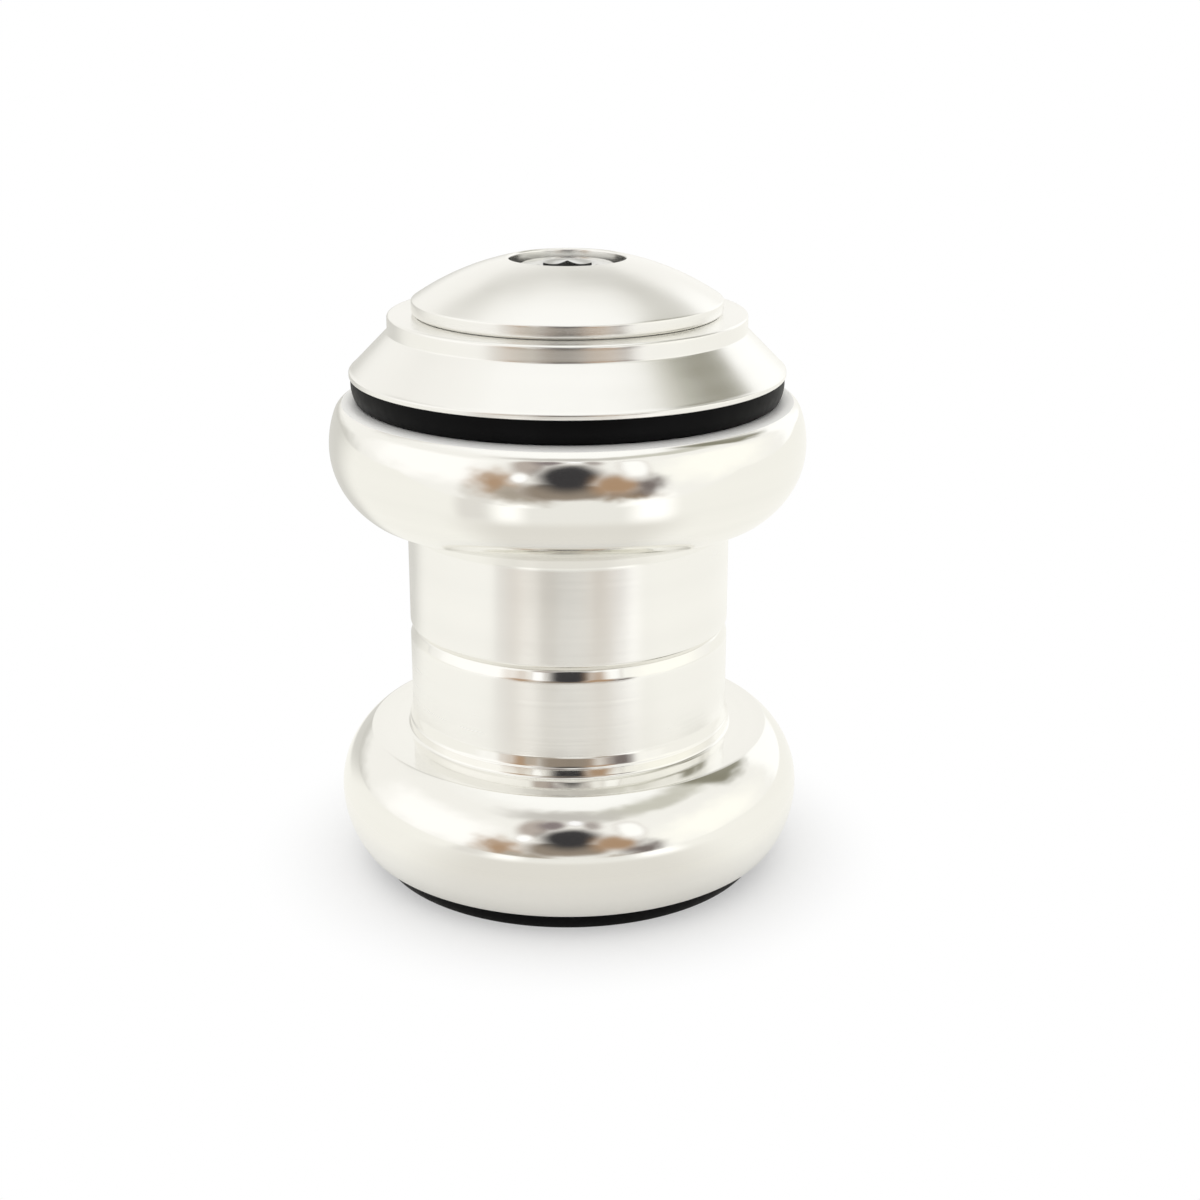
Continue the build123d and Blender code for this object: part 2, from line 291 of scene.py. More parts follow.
@dataclass(frozen=True)
class MetalFinish:
    """Bare metal with lathe rings and light traces of handling."""

    name: str
    colour: Colour
    roughness: float
    pitch: float = 0.2
    ring_depth: float = 0.0
    anisotropy: float = 0.0
    grain_turn: float = 0.25
    smudge: float = 0.06
    metallic: float = 1.0
    dull_share: float = 0.93
    ring_tone: float = 0.5
    speck_tone: float = 0.25
    ring_rough: float = 0.35
    ring_height: float = 0.02

    def make(self, effects: Effects) -> bpy.types.Material:
        """Builds the material.

        Args:
            effects: Shared node groups.

        Returns:
            The finished material.
        """
        material, graph, shader = new_material(self.name)
        rings = graph.node("ShaderNodeGroup", node_tree=effects.turning)
        rings.inputs["Pitch"].default_value = self.pitch
        traces = graph.node("ShaderNodeGroup", node_tree=effects.handling)
        fine = rings.outputs["Fine"]
        dull = (*(self.dull_share * part for part in self.colour), 1)
        ringed = graph.math("MULTIPLY", rings.outputs["Broad"], self.ring_tone)
        specked = graph.math("MULTIPLY", traces.outputs["Speck"], self.speck_tone)
        tone = graph.mix(specked, graph.mix(ringed, (*self.colour, 1), dull), dull)
        smudged = graph.math("MULTIPLY", traces.outputs["Smudge"], self.smudge)
        rough = graph.drift(smudged, fine, self.ring_rough * self.roughness)
        rough = graph.math("ADD", rough, self.roughness, clamp=True)
        if self.ring_depth:
            inputs = {"Strength": self.ring_depth, "Distance": self.ring_height * MM, "Height": fine}
            bump = graph.node("ShaderNodeBump", inputs)
            graph.feed(shader.inputs["Normal"], bump.outputs[0])
        graph.feed(shader.inputs["Base Color"], tone)
        graph.feed(shader.inputs["Roughness"], rough)
        shader.inputs["Metallic"].default_value = self.metallic
        shader.inputs["Anisotropic"].default_value = self.anisotropy
        shader.inputs["Anisotropic Rotation"].default_value = self.grain_turn
        return material


@dataclass(frozen=True)
class SoftFinish:
    """Rubber or moulded plastic with a fine grain."""

    name: str
    colour: Colour
    roughness: float
    grain: float = 900.0
    grain_depth: float = 0.25
    specular: float = 0.5
    wear: float = 0.5
    wear_gain: float = 1.5
    wear_base: float = 0.001
    grain_rough: float = 0.3
    grain_height: float = 0.05

    def make(self, effects: Effects) -> bpy.types.Material:
        """Builds the material.

        Args:
            effects: Shared node groups.

        Returns:
            The finished material.
        """
        material, graph, shader = new_material(self.name)
        inputs = {"Vector": graph.place(), "Scale": self.grain, "Detail": 5.0}
        grain = graph.node("ShaderNodeTexNoise", inputs).outputs[0]
        traces = graph.node("ShaderNodeGroup", node_tree=effects.handling)
        worn = (*(min(1.0, self.wear_gain * part + self.wear_base) for part in self.colour), 1)
        smudged = graph.math("MULTIPLY", traces.outputs["Smudge"], self.wear)
        tone = graph.mix(smudged, (*self.colour, 1), worn)
        rough = graph.math("MULTIPLY", graph.math("SUBTRACT", grain, 0.5), self.grain_rough)
        rough = graph.math("ADD", rough, self.roughness, clamp=True)
        inputs = {"Strength": self.grain_depth, "Distance": self.grain_height * MM, "Height": grain}
        bump = graph.node("ShaderNodeBump", inputs)
        graph.feed(shader.inputs["Base Color"], tone)
        graph.feed(shader.inputs["Roughness"], rough)
        graph.feed(shader.inputs["Normal"], bump.outputs[0])
        shader.inputs["Specular IOR Level"].default_value = self.specular
        return material


class Finishes:
    """Every finish of the headset, made once."""

    def __init__(self) -> None:
        """Makes the materials."""
        fx = Effects()
        smooth = {"smudge": 0.03}
        self.polished = MetalFinish(
            "polished_aluminium", (0.925, 0.918, 0.885), 0.075, pitch=0.3, **smooth
        ).make(fx)
        self.skirt = MetalFinish(
            "turned_skirt", (0.95, 0.945, 0.92), 0.23, pitch=0.4, anisotropy=0.9, **smooth
        ).make(fx)
        self.satin = MetalFinish(
            "satin_aluminium", (0.925, 0.918, 0.89), 0.22, pitch=0.4, anisotropy=0.6, **smooth
        ).make(fx)
        self.bore = MetalFinish(
            "machined_bore", (0.8, 0.8, 0.785), 0.3, pitch=0.22, ring_depth=0.3
        ).make(fx)
        self.lip = MetalFinish(
            "faced_lip", (0.96, 0.955, 0.93), 0.5, pitch=0.3, metallic=0.25
        ).make(fx)
        self.plain = MetalFinish(
            "plain_aluminium", (0.8, 0.8, 0.79), 0.32, pitch=0.25, ring_depth=0.3
        ).make(fx)
        self.bolt = MetalFinish(
            "bolt_steel", (0.72, 0.72, 0.71), 0.14, pitch=0.15, ring_depth=0.08
        ).make(fx)
        self.plated = MetalFinish(
            "plated_steel", (0.62, 0.64, 0.68), 0.33, pitch=0.3, ring_depth=0.1
        ).make(fx)
        self.race = MetalFinish(
            "bearing_steel", (0.66, 0.66, 0.67), 0.2, pitch=0.1, ring_depth=0.1
        ).make(fx)
        self.ball = MetalFinish("ball_steel", (0.72, 0.72, 0.73), 0.05, smudge=0.02).make(fx)
        self.rubber = SoftFinish(
            "seal_rubber", (0.003, 0.003, 0.0033), 0.42, grain_depth=0.1, specular=0.06
        ).make(fx)
        self.shield = SoftFinish("shield_rubber", (0.03, 0.03, 0.034), 0.5).make(fx)
        self.nylon = SoftFinish("cage_nylon", (0.78, 0.73, 0.58), 0.45, grain=500.0).make(fx)


@dataclass
class Profile:
    """Closed outline in the (r, z) half plane, in millimetres, that is turned about Z."""

    points: list[Point] = field(default_factory=list)
    hold: float = 0.25

    def to(self, r: float, z: float) -> "Profile":
        """Adds a straight run to a corner, with a holding ring near each end of a long run."""
        if self.points:
            start = self.points[-1]
            length = math.dist(start, (r, z))
            if length > 4 * self.hold:
                for along in (self.hold, length - self.hold):
                    share = along / length
                    near_r = start[0] + (r - start[0]) * share
                    self.points.append((near_r, start[1] + (z - start[1]) * share))
        self.points.append((r, z))
        return self

    def arc(self, centre: Point, radius: float, start: float, end: float, steps: int) -> "Profile":
        """Adds an arc.

        Args:
            centre: Its centre.
            radius: Its radius.
            start: First angle in degrees, from the r axis towards z.
            end: Last angle.
            steps: Number of its chords.

        Returns:
            The profile itself.
        """
        for i in range(steps + 1):
            angle = math.radians(start + (end - start) * i / steps)
            point = (centre[0] + radius * math.cos(angle), centre[1] + radius * math.sin(angle))
            if not self.points or math.dist(point, self.points[-1]) > SAME_POINT:
                self.points.append(point)
        return self

    def bow(self, through: Point, end: Point, steps: int = 10) -> "Profile":
        """Adds an arc from the last point through one point to another."""
        (ax, ay), (bx, by), (cx, cy) = self.points[-1], through, end
        d = 2 * (ax * (by - cy) + bx * (cy - ay) + cx * (ay - by))
        a2, b2, c2 = ax * ax + ay * ay, bx * bx + by * by, cx * cx + cy * cy
        ux = (a2 * (by - cy) + b2 * (cy - ay) + c2 * (ay - by)) / d
        uy = (a2 * (cx - bx) + b2 * (ax - cx) + c2 * (bx - ax)) / d
        first = math.degrees(math.atan2(ay - uy, ax - ux))
        turn = math.degrees(math.atan2(cy - uy, cx - ux)) - first
        middle = math.degrees(math.atan2(by - uy, bx - ux)) - first
        turn, middle = turn % 360, middle % 360
        if middle > turn:
            turn -= 360
        return self.arc((ux, uy), math.hypot(ax - ux, ay - uy), first, first + turn, steps)

    def shifted(self, mouth: float, way: Way) -> "Profile":
        """Returns a profile that runs (r, depth) at a mouth's height, up or down."""
        return Profile([(r, mouth + way.value * depth) for r, depth in self.points])


@dataclass
class Turning:
    """One piece turned on a lathe: a profile spun about Z, with its corners broken."""

    name: str
    profile: Profile
    materials: list[bpy.types.Material]
    rule: Callable[[float, float], int] = lambda r, z: 0
    corner: float = 0.1
    closed: bool = True

    def mesh(self) -> bmesh.types.BMesh:
        """Spins the profile and breaks its corners.

        Returns:
            The piece as a bmesh, in metres.
        """
        bm = bmesh.new()
        ring = [bm.verts.new((r * MM, 0.0, z * MM)) for r, z in self.profile.points]
        pairs = zip(ring, ring[1:] + ring[:1] if self.closed else ring[1:])
        edges = [bm.edges.new(pair) for pair in pairs]
        bmesh.ops.spin(
            bm,
            geom=ring + edges,
            cent=(0, 0, 0),
            axis=(0, 0, 1),
            angle=math.tau,
            steps=SPIN_STEPS,
            use_merge=True,
        )
        bmesh.ops.remove_doubles(bm, verts=bm.verts[:], dist=MERGE_DISTANCE)
        bmesh.ops.recalc_face_normals(bm, faces=bm.faces[:])
        folds = [e for e in bm.edges if len(e.link_faces) == 2]
        sharp = [e for e in folds if e.calc_face_angle() > BROKEN_CORNER]
        if sharp and self.corner:
            bmesh.ops.bevel(
                bm,
                geom=sharp,
                offset=self.corner * MM,
                offset_type="OFFSET",
                affect="EDGES",
                segments=3,
                profile=0.5,
                material=-1,
                clamp_overlap=True,
            )
        return bm

    def build(self, body: Body, slot: Slot, *nodes: str) -> bpy.types.Object:
        """Makes the piece's object, dressed and riding on its body.

        Args:
            body: Body that it moves with.
            slot: Record's slot of its finish; not used.
            nodes: CAD nodes that it stands for.

        Returns:
            The object.
        """
        bm = self.mesh()
        for face in bm.faces:
            place = face.calc_center_median() / MM
            face.material_index = self.rule(math.hypot(place.x, place.y), place.z)
        return finish_piece(bm, self.name, self.materials, body, slot, *nodes)


def extrude_rim(bm: bmesh.types.BMesh, rim: list[bmesh.types.BMEdge]) -> list[bmesh.types.BMEdge]:
    """Extrudes an open rim in place.

    Args:
        bm: Mesh that the rim belongs to.
        rim: Edges of the rim.

    Returns:
        The new rim's edges.
    """
    made = bmesh.ops.extrude_edge_only(bm, edges=rim)["geom"]
    return [e for e in made if isinstance(e, bmesh.types.BMEdge) and e.is_boundary]


def finish_piece(
    bm: bmesh.types.BMesh,
    name: str,
    materials: list[bpy.types.Material],
    body: Body,
    slot: Slot,
    *nodes: str,
) -> bpy.types.Object:
    """Turns a bmesh into a dressed object of the headset.

    Args:
        bm: The mesh, which is freed.
        name: Name of the piece.
        materials: Its materials, by face index.
        body: Body that it moves with.
        slot: Record's slot of its finish; not used.
        nodes: CAD nodes that it stands for.

    Returns:
        The object.
    """
    data = bpy.data.meshes.new(name)
    bm.to_mesh(data)
    bm.free()
    for material in materials:
        data.materials.append(material)
    data.shade_smooth()
    data.set_sharp_from_angle(angle=SHARP_EDGE)
    piece = bpy.data.objects.new(name, data)
    bpy.context.scene.collection.objects.link(piece)
    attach(piece, body.value)
    if nodes:
        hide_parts(*nodes)
    LOG.info("%s: %d faces on %s", name, len(data.polygons), body.value)
    return piece


@dataclass
class Cup:
    """Bearing cup with its press skirt, by depth from its mouth, in millimetres."""

    name: str
    mouth: float
    way: Way
    reach: float
    skirt: float
    lead: float
    lip_edge: float
    mouth_r: float = 21.68
    bulge: float = 3.25
    lip_round: float = 10.0
    round_r: float = 8.4
    ledge_depth: float = 6.8
    edge: float = 0.5
    boss_height: float = 1.2
    run_out: float = 1.1
    skirt_r: float = 17.05
    through_r: float = 15.3
    bearing_r: float = 20.5
    bearing_height: float = 6.5
    step: float = 1.0
    boss_out: float = 0.35
    fillet: float = 0.35
    fillet_bow: float = 0.1
    boss_break: float = 0.12
    lead_depth: float = 0.4
    bore_break: float = 0.25
    seat_slack: float = 0.02
    seat_floor: float = 0.8
    seat_taper: float = 1.22
    relief: float = 1.5
    relief_rise: float = 0.3
    lip_zone: Point = (0.05, 0.25)
    bore_zone: float = 0.1
    seat_zone: float = 0.3
    seat_span: Span = (0.5, 9.0)

    @property
    def ledge(self) -> float:
        """Depth of the ledge that the head tube rests on."""
        return self.reach + self.ledge_depth

    @property
    def end(self) -> float:
        """Depth of the skirt's end."""
        return self.ledge + self.skirt

    def outline(self) -> Profile:
        """Returns the cup's section."""
        cup_r = self.mouth_r + self.bulge
        low = (cup_r - self.lip_round, self.reach)
        low_reach = self.lip_round - self.lip_edge
        low_angle = -math.degrees(math.asin((self.reach - self.lip_edge) / low_reach))
        lip_r = low[0] + low_reach * math.cos(math.radians(low_angle))
        high = (cup_r - self.round_r, self.reach)
        high_reach = self.round_r - self.edge
        high_angle = math.degrees(math.asin((self.ledge_depth - self.edge) / high_reach))
        brow_r = high[0] + high_reach * math.cos(math.radians(high_angle))
        boss_r = self.skirt_r + self.boss_out
        boss_top = self.ledge + self.boss_height
        seat = self.step + self.bearing_height
        seat_r = self.bearing_r + self.seat_slack
        floor = seat + self.seat_floor
        relief_r = self.bearing_r - self.relief
        bow = (boss_r + self.fillet_bow, self.ledge + self.fillet_bow)
        line = Profile()
        line.to(self.mouth_r, 0).to(lip_r, 0)
        line.arc((lip_r, self.lip_edge), self.lip_edge, -90, low_angle, 14)
        line.arc(low, self.lip_round, low_angle, 0, 18)
        line.arc(high, self.round_r, 0, high_angle, 30)
        line.arc((brow_r, self.ledge - self.edge), self.edge, high_angle, 90, 8)
        line.to(boss_r + self.fillet, self.ledge).bow(bow, (boss_r, self.ledge + self.fillet), 6)
        line.to(boss_r, boss_top - self.boss_break).to(boss_r - self.boss_break, boss_top)
        line.to(self.skirt_r, boss_top + self.run_out)
        line.to(self.skirt_r, self.end - self.lead).to(self.skirt_r - self.lead_depth, self.end)
        line.to(self.through_r + self.bore_break, self.end)
        line.to(self.through_r, self.end - self.bore_break)
        line.to(self.through_r, floor).to(relief_r, floor).to(relief_r, seat + self.relief_rise)
        line.to(seat_r, seat - self.seat_taper).to(seat_r, self.step)
        line.to(self.mouth_r, self.step)
        return line.shifted(self.mouth, self.way)

    def zone(self, r: float, z: float) -> CupZone:
        """Returns the zone of a place."""
        depth = (z - self.mouth) * self.way.value
        lip_in, lip_depth = self.lip_zone
        if depth < lip_depth and r > self.mouth_r + lip_in:
            return CupZone.LIP
        in_seat = self.seat_span[0] < depth < self.seat_span[1] and r < self.bearing_r + self.seat_zone
        if in_seat or r < self.through_r + self.bore_zone:
            return CupZone.INSIDE
        run_end = self.ledge + self.boss_height + self.run_out
        return CupZone.SKIRT if run_end < depth < self.end - self.lead else CupZone.OUTSIDE

    def build(self, finishes: Finishes) -> None:
        """Models the cup in place of its solid."""
        materials = [finishes.polished, finishes.skirt, finishes.bore, finishes.lip]
        lathe = Turning(self.name, self.outline(), materials, self.zone, corner=0.09)
        lathe.build(Body.CUPS, Slot.POLISHED, self.name)


@dataclass
class TopCover:
    """Conical cover with a rim, over the upper bearing, with its seal."""

    base: float = 53.5
    ring_top: float = 52.325
    cover_r: float = 22.63
    rim_r: float = 18.58
    cone: float = 4.1
    rim: float = 1.7
    bore_r: float = 14.4
    hub_r: float = 16.74
    mouth: float = 51.0
    mouth_r: float = 21.68
    gap: float = 2.5
    foot_rise: float = 0.5
    foot_break: float = 0.12
    corner_run: float = 0.1
    corner_bow: Point = (0.04, 0.08)
    corner_end: float = 0.15
    rim_round: float = 0.3
    rim_bow: float = 0.088
    bore_break: float = 0.4
    groove_drop: float = 1.43
    groove_half: float = 0.95
    groove_depth: float = 1.7
    hollow_share: float = 0.36
    hollow_inset: float = 1.5
    hollow_break: float = 1.0
    tongue: Span = (1.1, 0.3)
    tongue_height: float = 0.9
    band_inset: float = 0.22
    band_bow: Point = (0.05, 0.6)
    seal_foot: Point = (0.33, 0.12)
    lip: Span = (0.7, 0.2)
    lip_drop: float = 0.75
    lip_root: float = 0.6
    bore_zone: Point = (1.75, 6.0)
    hollow_zone: float = 2.0
    base_zone: float = 0.02

    @property
    def hollow_r(self) -> float:
        """Radius of the hollow inside the cone."""
        return self.mouth_r - self.hollow_inset

    @property
    def tongue_span(self) -> Span:
        """Radii of the seal's tongue and of its groove in the cover."""
        return self.mouth_r - self.tongue[0], self.mouth_r - self.tongue[1]

    def cover_outline(self) -> Profile:
        """Returns the cover's section."""
        foot = self.base + self.foot_rise
        top = foot + self.cone
        crest = top + self.rim
        hollow_top = foot + self.hollow_share * self.cone
        hollow_r = self.hollow_r
        tongue_in, tongue_out = self.tongue_span
        tongue_top = self.base + self.tongue_height
        groove_r = self.bore_r + self.groove_depth
        groove_low = top - self.groove_drop - self.groove_half
        groove_high = top - self.groove_drop + self.groove_half
        corner = (self.cover_r - self.corner_bow[0], foot + self.corner_bow[1])
        line = Profile()
        line.to(self.bore_r, self.ring_top).to(self.hub_r, self.ring_top).to(self.hub_r, hollow_top)
        line.to(hollow_r - self.hollow_break, hollow_top)
        line.to(hollow_r, hollow_top - self.hollow_break).to(hollow_r, self.base)
        line.to(tongue_in, self.base).to(tongue_in, tongue_top).to(tongue_out, tongue_top)
        line.to(tongue_out, self.base).to(self.cover_r - self.foot_break, self.base)
        line.to(self.cover_r, self.base + self.foot_break).to(self.cover_r, foot - self.corner_run)
        line.bow(corner, (self.cover_r - self.corner_end, foot + self.corner_end), 5)
        line.to(self.rim_r, top).to(self.rim_r, crest - self.rim_round)
        line.bow((self.rim_r - self.rim_bow, crest - self.rim_bow), (self.rim_r - self.rim_round, crest), 6)
        line.to(self.bore_r + self.bore_break, crest).to(self.bore_r, crest - self.bore_break)
        line.to(self.bore_r, groove_high).to(groove_r, groove_high)
        line.to(groove_r, groove_low).to(self.bore_r, groove_low)
        return line

    def seal_outline(self) -> Profile:
        """Returns the seal's section."""
        tongue_in, tongue_out = self.tongue_span
        tongue_top = self.base + self.tongue_height
        lip_in, lip_out = self.mouth_r - self.lip[0], self.mouth_r - self.lip[1]
        band = self.cover_r - self.band_inset
        bow = (band + self.band_bow[0], self.mouth + self.band_bow[1] * self.gap)
        foot = self.mouth + self.seal_foot[1]
        tip = self.mouth - self.lip_drop
        line = Profile()
        line.to(self.hollow_r, self.base).to(tongue_in, self.base).to(tongue_in, tongue_top)
        line.to(tongue_out, tongue_top).to(tongue_out, self.base).to(band, self.base)
        line.bow(bow, (self.mouth_r + self.seal_foot[0], foot), 10)
        line.to(lip_out, foot).to(lip_out, tip)
        line.to(lip_in, tip).to(self.hollow_r, self.mouth + self.lip_root)
        return line

    def zone(self, r: float, z: float) -> CoverZone:
        """Returns the zone of a place on the cover."""
        height = z - self.base
        in_bore = r < self.bore_r + self.bore_zone[0] and height < self.bore_zone[1]
        in_hollow = r < self.mouth_r and height < self.hollow_zone
        inside = in_bore or in_hollow or height < self.base_zone
        return CoverZone.INSIDE if inside else CoverZone.OUTSIDE

    def build(self, finishes: Finishes) -> None:
        """Models the cover and its seal in place of their solids."""
        materials = [finishes.satin, finishes.bore]
        cover = Turning("top_cover", self.cover_outline(), materials, self.zone, corner=0.06)
        cover.build(Body.UPPER_ROTOR, Slot.SATIN, "top_cover")
        seal = Turning("upper_seal", self.seal_outline(), [finishes.rubber], corner=0.1)
        seal.build(Body.UPPER_ROTOR, Slot.RUBBER, "upper_seal")


@dataclass
class TopCap:
    """Domed cap with a recess for the bolt's head."""

    base: float = 59.8
    cap_r: float = 16.05
    edge: float = 1.4
    rise: float = 4.15
    recess_r: float = 6.0
    dome_r: float = 27.614
    spigot_r: float = 14.05
    head_seat: float = 58.7
    hole_r: float = 3.2
    recess_wall: float = 2.0
    hollow: float = 0.6
    spigot_wall: float = 1.6
    edge_break: float = 0.3
    recess_edge: Point = (0.35, 0.25)
    recess_bow: Point = (0.1, 0.02)
    base_zone: float = 0.05
    hollow_zone: float = 0.7

    def outline(self) -> Profile:
        """Returns the cap's section."""
        foot = (self.cap_r, self.base + self.edge)
        top = (self.recess_r + self.recess_edge[0], foot[1] + self.rise)
        chord = math.dist(foot, top)
        sag = self.dome_r * (1 - math.cos(math.asin(chord / 2 / self.dome_r)))
        middle = (
            (foot[0] + top[0]) / 2 + sag * (top[1] - foot[1]) / chord,
            (foot[1] + top[1]) / 2 + sag * (foot[0] - top[0]) / chord,
        )
        boss_r = self.recess_r + self.recess_wall
        boss_end = self.head_seat - self.recess_wall
        ceiling = self.base + self.hollow
        spigot_in, spigot_end = self.spigot_r - self.spigot_wall, self.base - self.spigot_wall
        bow = (self.recess_r + self.recess_bow[0], top[1] - self.recess_bow[1])
        line = Profile()
        line.to(self.hole_r, boss_end).to(boss_r, boss_end).to(boss_r, ceiling)
        line.to(spigot_in, ceiling).to(spigot_in, spigot_end)
        line.to(self.spigot_r - self.edge_break, spigot_end)
        line.to(self.spigot_r, spigot_end + self.edge_break).to(self.spigot_r, self.base)
        line.to(self.cap_r - self.edge_break, self.base).to(self.cap_r, self.base + self.edge_break)
        line.to(*foot)
        line.bow(middle, top, 40)
        line.bow(bow, (self.recess_r, top[1] - self.recess_edge[1]), 6)
        line.to(self.recess_r, self.head_seat).to(self.hole_r, self.head_seat)
        return line

    def zone(self, r: float, z: float) -> CoverZone:
        """Returns the zone of a place."""
        height = z - self.base
        in_hollow = r < self.spigot_r and height < self.hollow_zone
        return CoverZone.INSIDE if in_hollow or height < self.base_zone else CoverZone.OUTSIDE

    def build(self, finishes: Finishes) -> None:
        """Models the cap in place of its solid."""
        materials = [finishes.satin, finishes.bore]
        lathe = Turning("top_cap", self.outline(), materials, self.zone, corner=0.1)
        lathe.build(Body.UPPER_ROTOR, Slot.SATIN, "top_cap")


@dataclass
class Bolt:
    """Socket-head bolt of the top cap."""

    head_z: float = 58.72
    head_r: float = 5.0
    head_height: float = 6.0
    across: float = 5.0
    shank_r: float = 2.95
    end: float = 23.7
    pitch: float = 1.0
    groove: float = 0.42
    entry: float = 0.7
    mouth_extra: float = 0.2
    foot_break: float = 0.2
    head_round: float = 0.45
    head_bow: float = 0.13
    socket_share: float = 0.55
    drill_point: float = 0.8
    lead: float = 0.6
    rings_per_pitch: int = 8
    thread_steps: int = 48

    def head(self) -> bmesh.types.BMesh:
        """Turns the head and sinks the hexagon socket into it.

        Returns:
            The head as a bmesh.
        """
        top = self.head_z + self.head_height
        mouth = self.across / math.sqrt(3) + self.mouth_extra
        line = Profile()
        line.to(0, self.head_z).to(self.head_r - self.foot_break, self.head_z)
        line.to(self.head_r, self.head_z + self.foot_break).to(self.head_r, top - self.head_round)
        line.bow((self.head_r - self.head_bow, top - self.head_bow), (self.head_r - self.head_round, top), 8)
        line.to(mouth, top)
        bm = Turning("head", line, [], corner=0.08, closed=False).mesh()
        rim = [e for e in bm.edges if e.is_boundary]
        floor = top - self.socket_share * self.head_height
        for level, shape in ((top, 1.0), (floor, 1.0), (floor - self.drill_point, 0.0)):
            rim = extrude_rim(bm, rim)
            for vert in {v for e in rim for v in e.verts}:
                angle = math.atan2(vert.co.y, vert.co.x)
                flat = ((angle + math.pi / 6) % (math.pi / 3)) - math.pi / 6
                r = shape * self.across / 2 / math.cos(flat)
                z = top - self.entry * (mouth - r) if level == top else level
                vert.co = Vector((r * math.cos(angle), r * math.sin(angle), z)) * MM
        bmesh.ops.remove_doubles(bm, verts=bm.verts[:], dist=MERGE_DISTANCE)
        bmesh.ops.recalc_face_normals(bm, faces=bm.faces[:])
        return bm

    def thread(self) -> bmesh.types.BMesh:
        """Turns the shank and cuts its helical thread.

        Returns:
            The threaded shank as a bmesh.
        """
        bm = bmesh.new()
        rings = int((self.head_z - self.end) / self.pitch * self.rings_per_pitch)
        bmesh.ops.create_circle(
            bm, cap_ends=True, segments=self.thread_steps, radius=self.shank_r * MM
        )
        bmesh.ops.translate(bm, verts=bm.verts[:], vec=(0, 0, self.end * MM))
        rim = [e for e in bm.edges if e.is_boundary]
        rise = (self.head_z - self.end) / rings
        for _ in range(rings):
            rim = extrude_rim(bm, rim)
            bmesh.ops.translate(bm, verts=list({v for e in rim for v in e.verts}), vec=(0, 0, rise * MM))
        for vert in bm.verts:
            height = vert.co.z / MM - self.end
            turn = math.atan2(vert.co.y, vert.co.x) / math.tau
            wave = abs(((height / self.pitch - turn) % 1.0) * 2 - 1)
            cut = self.groove * wave
            lead = max(0.0, self.lead - height)
            share = (self.shank_r - max(cut, lead)) / self.shank_r
            vert.co.x *= share
            vert.co.y *= share
        bmesh.ops.recalc_face_normals(bm, faces=bm.faces[:])
        return bm

    def build(self, finishes: Finishes) -> None:
        """Models the bolt in place of its solid."""
        for name, bm in (("top_cap_bolt_head", self.head()), ("top_cap_bolt_thread", self.thread())):
            finish_piece(bm, name, [finishes.bolt], Body.BOLT, Slot.BOLT, "top_cap_bolt")


@dataclass
class LowerSeal:
    """Rubber ring on the crown race's flange, with a lip inside the lower cup."""

    mouth: float = 2.2
    mouth_r: float = 21.68
    flange_r: float = 20.18
    foot_in: float = 0.85
    bow: Point = (0.35, 0.4)
    top_in: float = 0.12
    lip: Span = (0.6, 0.2)
    lip_rise: float = 0.75
    lip_root: float = 0.2

    def outline(self) -> Profile:
        """Returns the seal's section."""
        top = self.mouth - self.top_in
        tip = self.mouth + self.lip_rise
        lip_in, lip_out = self.mouth_r - self.lip[0], self.mouth_r - self.lip[1]
        bow = (self.mouth_r - self.bow[0], self.bow[1] * self.mouth)
        line = Profile()
        line.to(self.flange_r, 0).to(self.mouth_r - self.foot_in, 0)
        line.bow(bow, (self.mouth_r - self.top_in, top), 8)
        line.to(lip_out, top).to(lip_out, tip)
        line.to(lip_in, tip).to(self.flange_r, self.mouth - self.lip_root)
        return line

    def build(self, finishes: Finishes) -> None:
        """Models the seal in place of its solid."""
        lathe = Turning("lower_seal", self.outline(), [finishes.rubber], corner=0.08)
        lathe.build(Body.LOWER_ROTOR, Slot.RUBBER, "lower_seal")


@dataclass
class InnerWorks:
    """Pieces inside the stack, which keep their solids and get their finishes."""

    sides: tuple[str, str] = ("upper", "lower")

    def dress(self, frame: dict, finishes: Finishes) -> None:
        """Gives every remaining CAD node its finish.

        Args:
            frame: The loaded frame.
            finishes: Materials of the headset.
        """
        worn = {
            "compression_ring": finishes.plain,
            "crown_race": finishes.plain,
            "top_cover_o_ring": finishes.rubber,
            "star_nut_sleeve": finishes.plated,
            "star_nut_upper_claw": finishes.plated,
            "star_nut_lower_claw": finishes.plated,
        }
        for side in self.sides:
            worn[f"{side}_bearing_outer_race"] = finishes.race
            worn[f"{side}_bearing_inner_race"] = finishes.race
            worn[f"{side}_bearing_balls"] = finishes.ball
            worn[f"{side}_bearing_cage"] = finishes.nylon
            worn[f"{side}_bearing_mouth_shield"] = finishes.shield
            worn[f"{side}_bearing_seat_shield"] = finishes.shield
        for node, material in worn.items():
            for holder in frame["nodes"][node].material_slots:
                holder.material = material
            LOG.info("%s: dressed", node)


@dataclass(frozen=True)
class Patch:
    """Soft-edged patch of light or shade, by its middle and half sizes."""

    across: float
    along: float
    half_across: float
    half_along: float
    level: Colour
    soft: float = 0.5
    power: float = 2.0

    def mask(self, graph: Graph, across: Socket, along: Socket) -> Socket:
        """Shapes the patch.

        Args:
            graph: Graph that the patch is drawn in.
            across: First coordinate.
            along: Second coordinate.

        Returns:
            Mask that is 1 inside the patch.
        """
        total: object = 0.0
        for value, centre, half in (
            (across, self.across, self.half_across),
            (along, self.along, self.half_along),
        ):
            away = graph.math("DIVIDE", graph.math("SUBTRACT", value, centre), half)
            total = graph.math("ADD", total, graph.math("POWER", graph.math("ABSOLUTE", away), self.power))
        reach = graph.math("POWER", total, 1.0 / self.power)
        return graph.spread(reach, 1.0 - self.soft, 1.0 + self.soft, 1.0, 0.0)


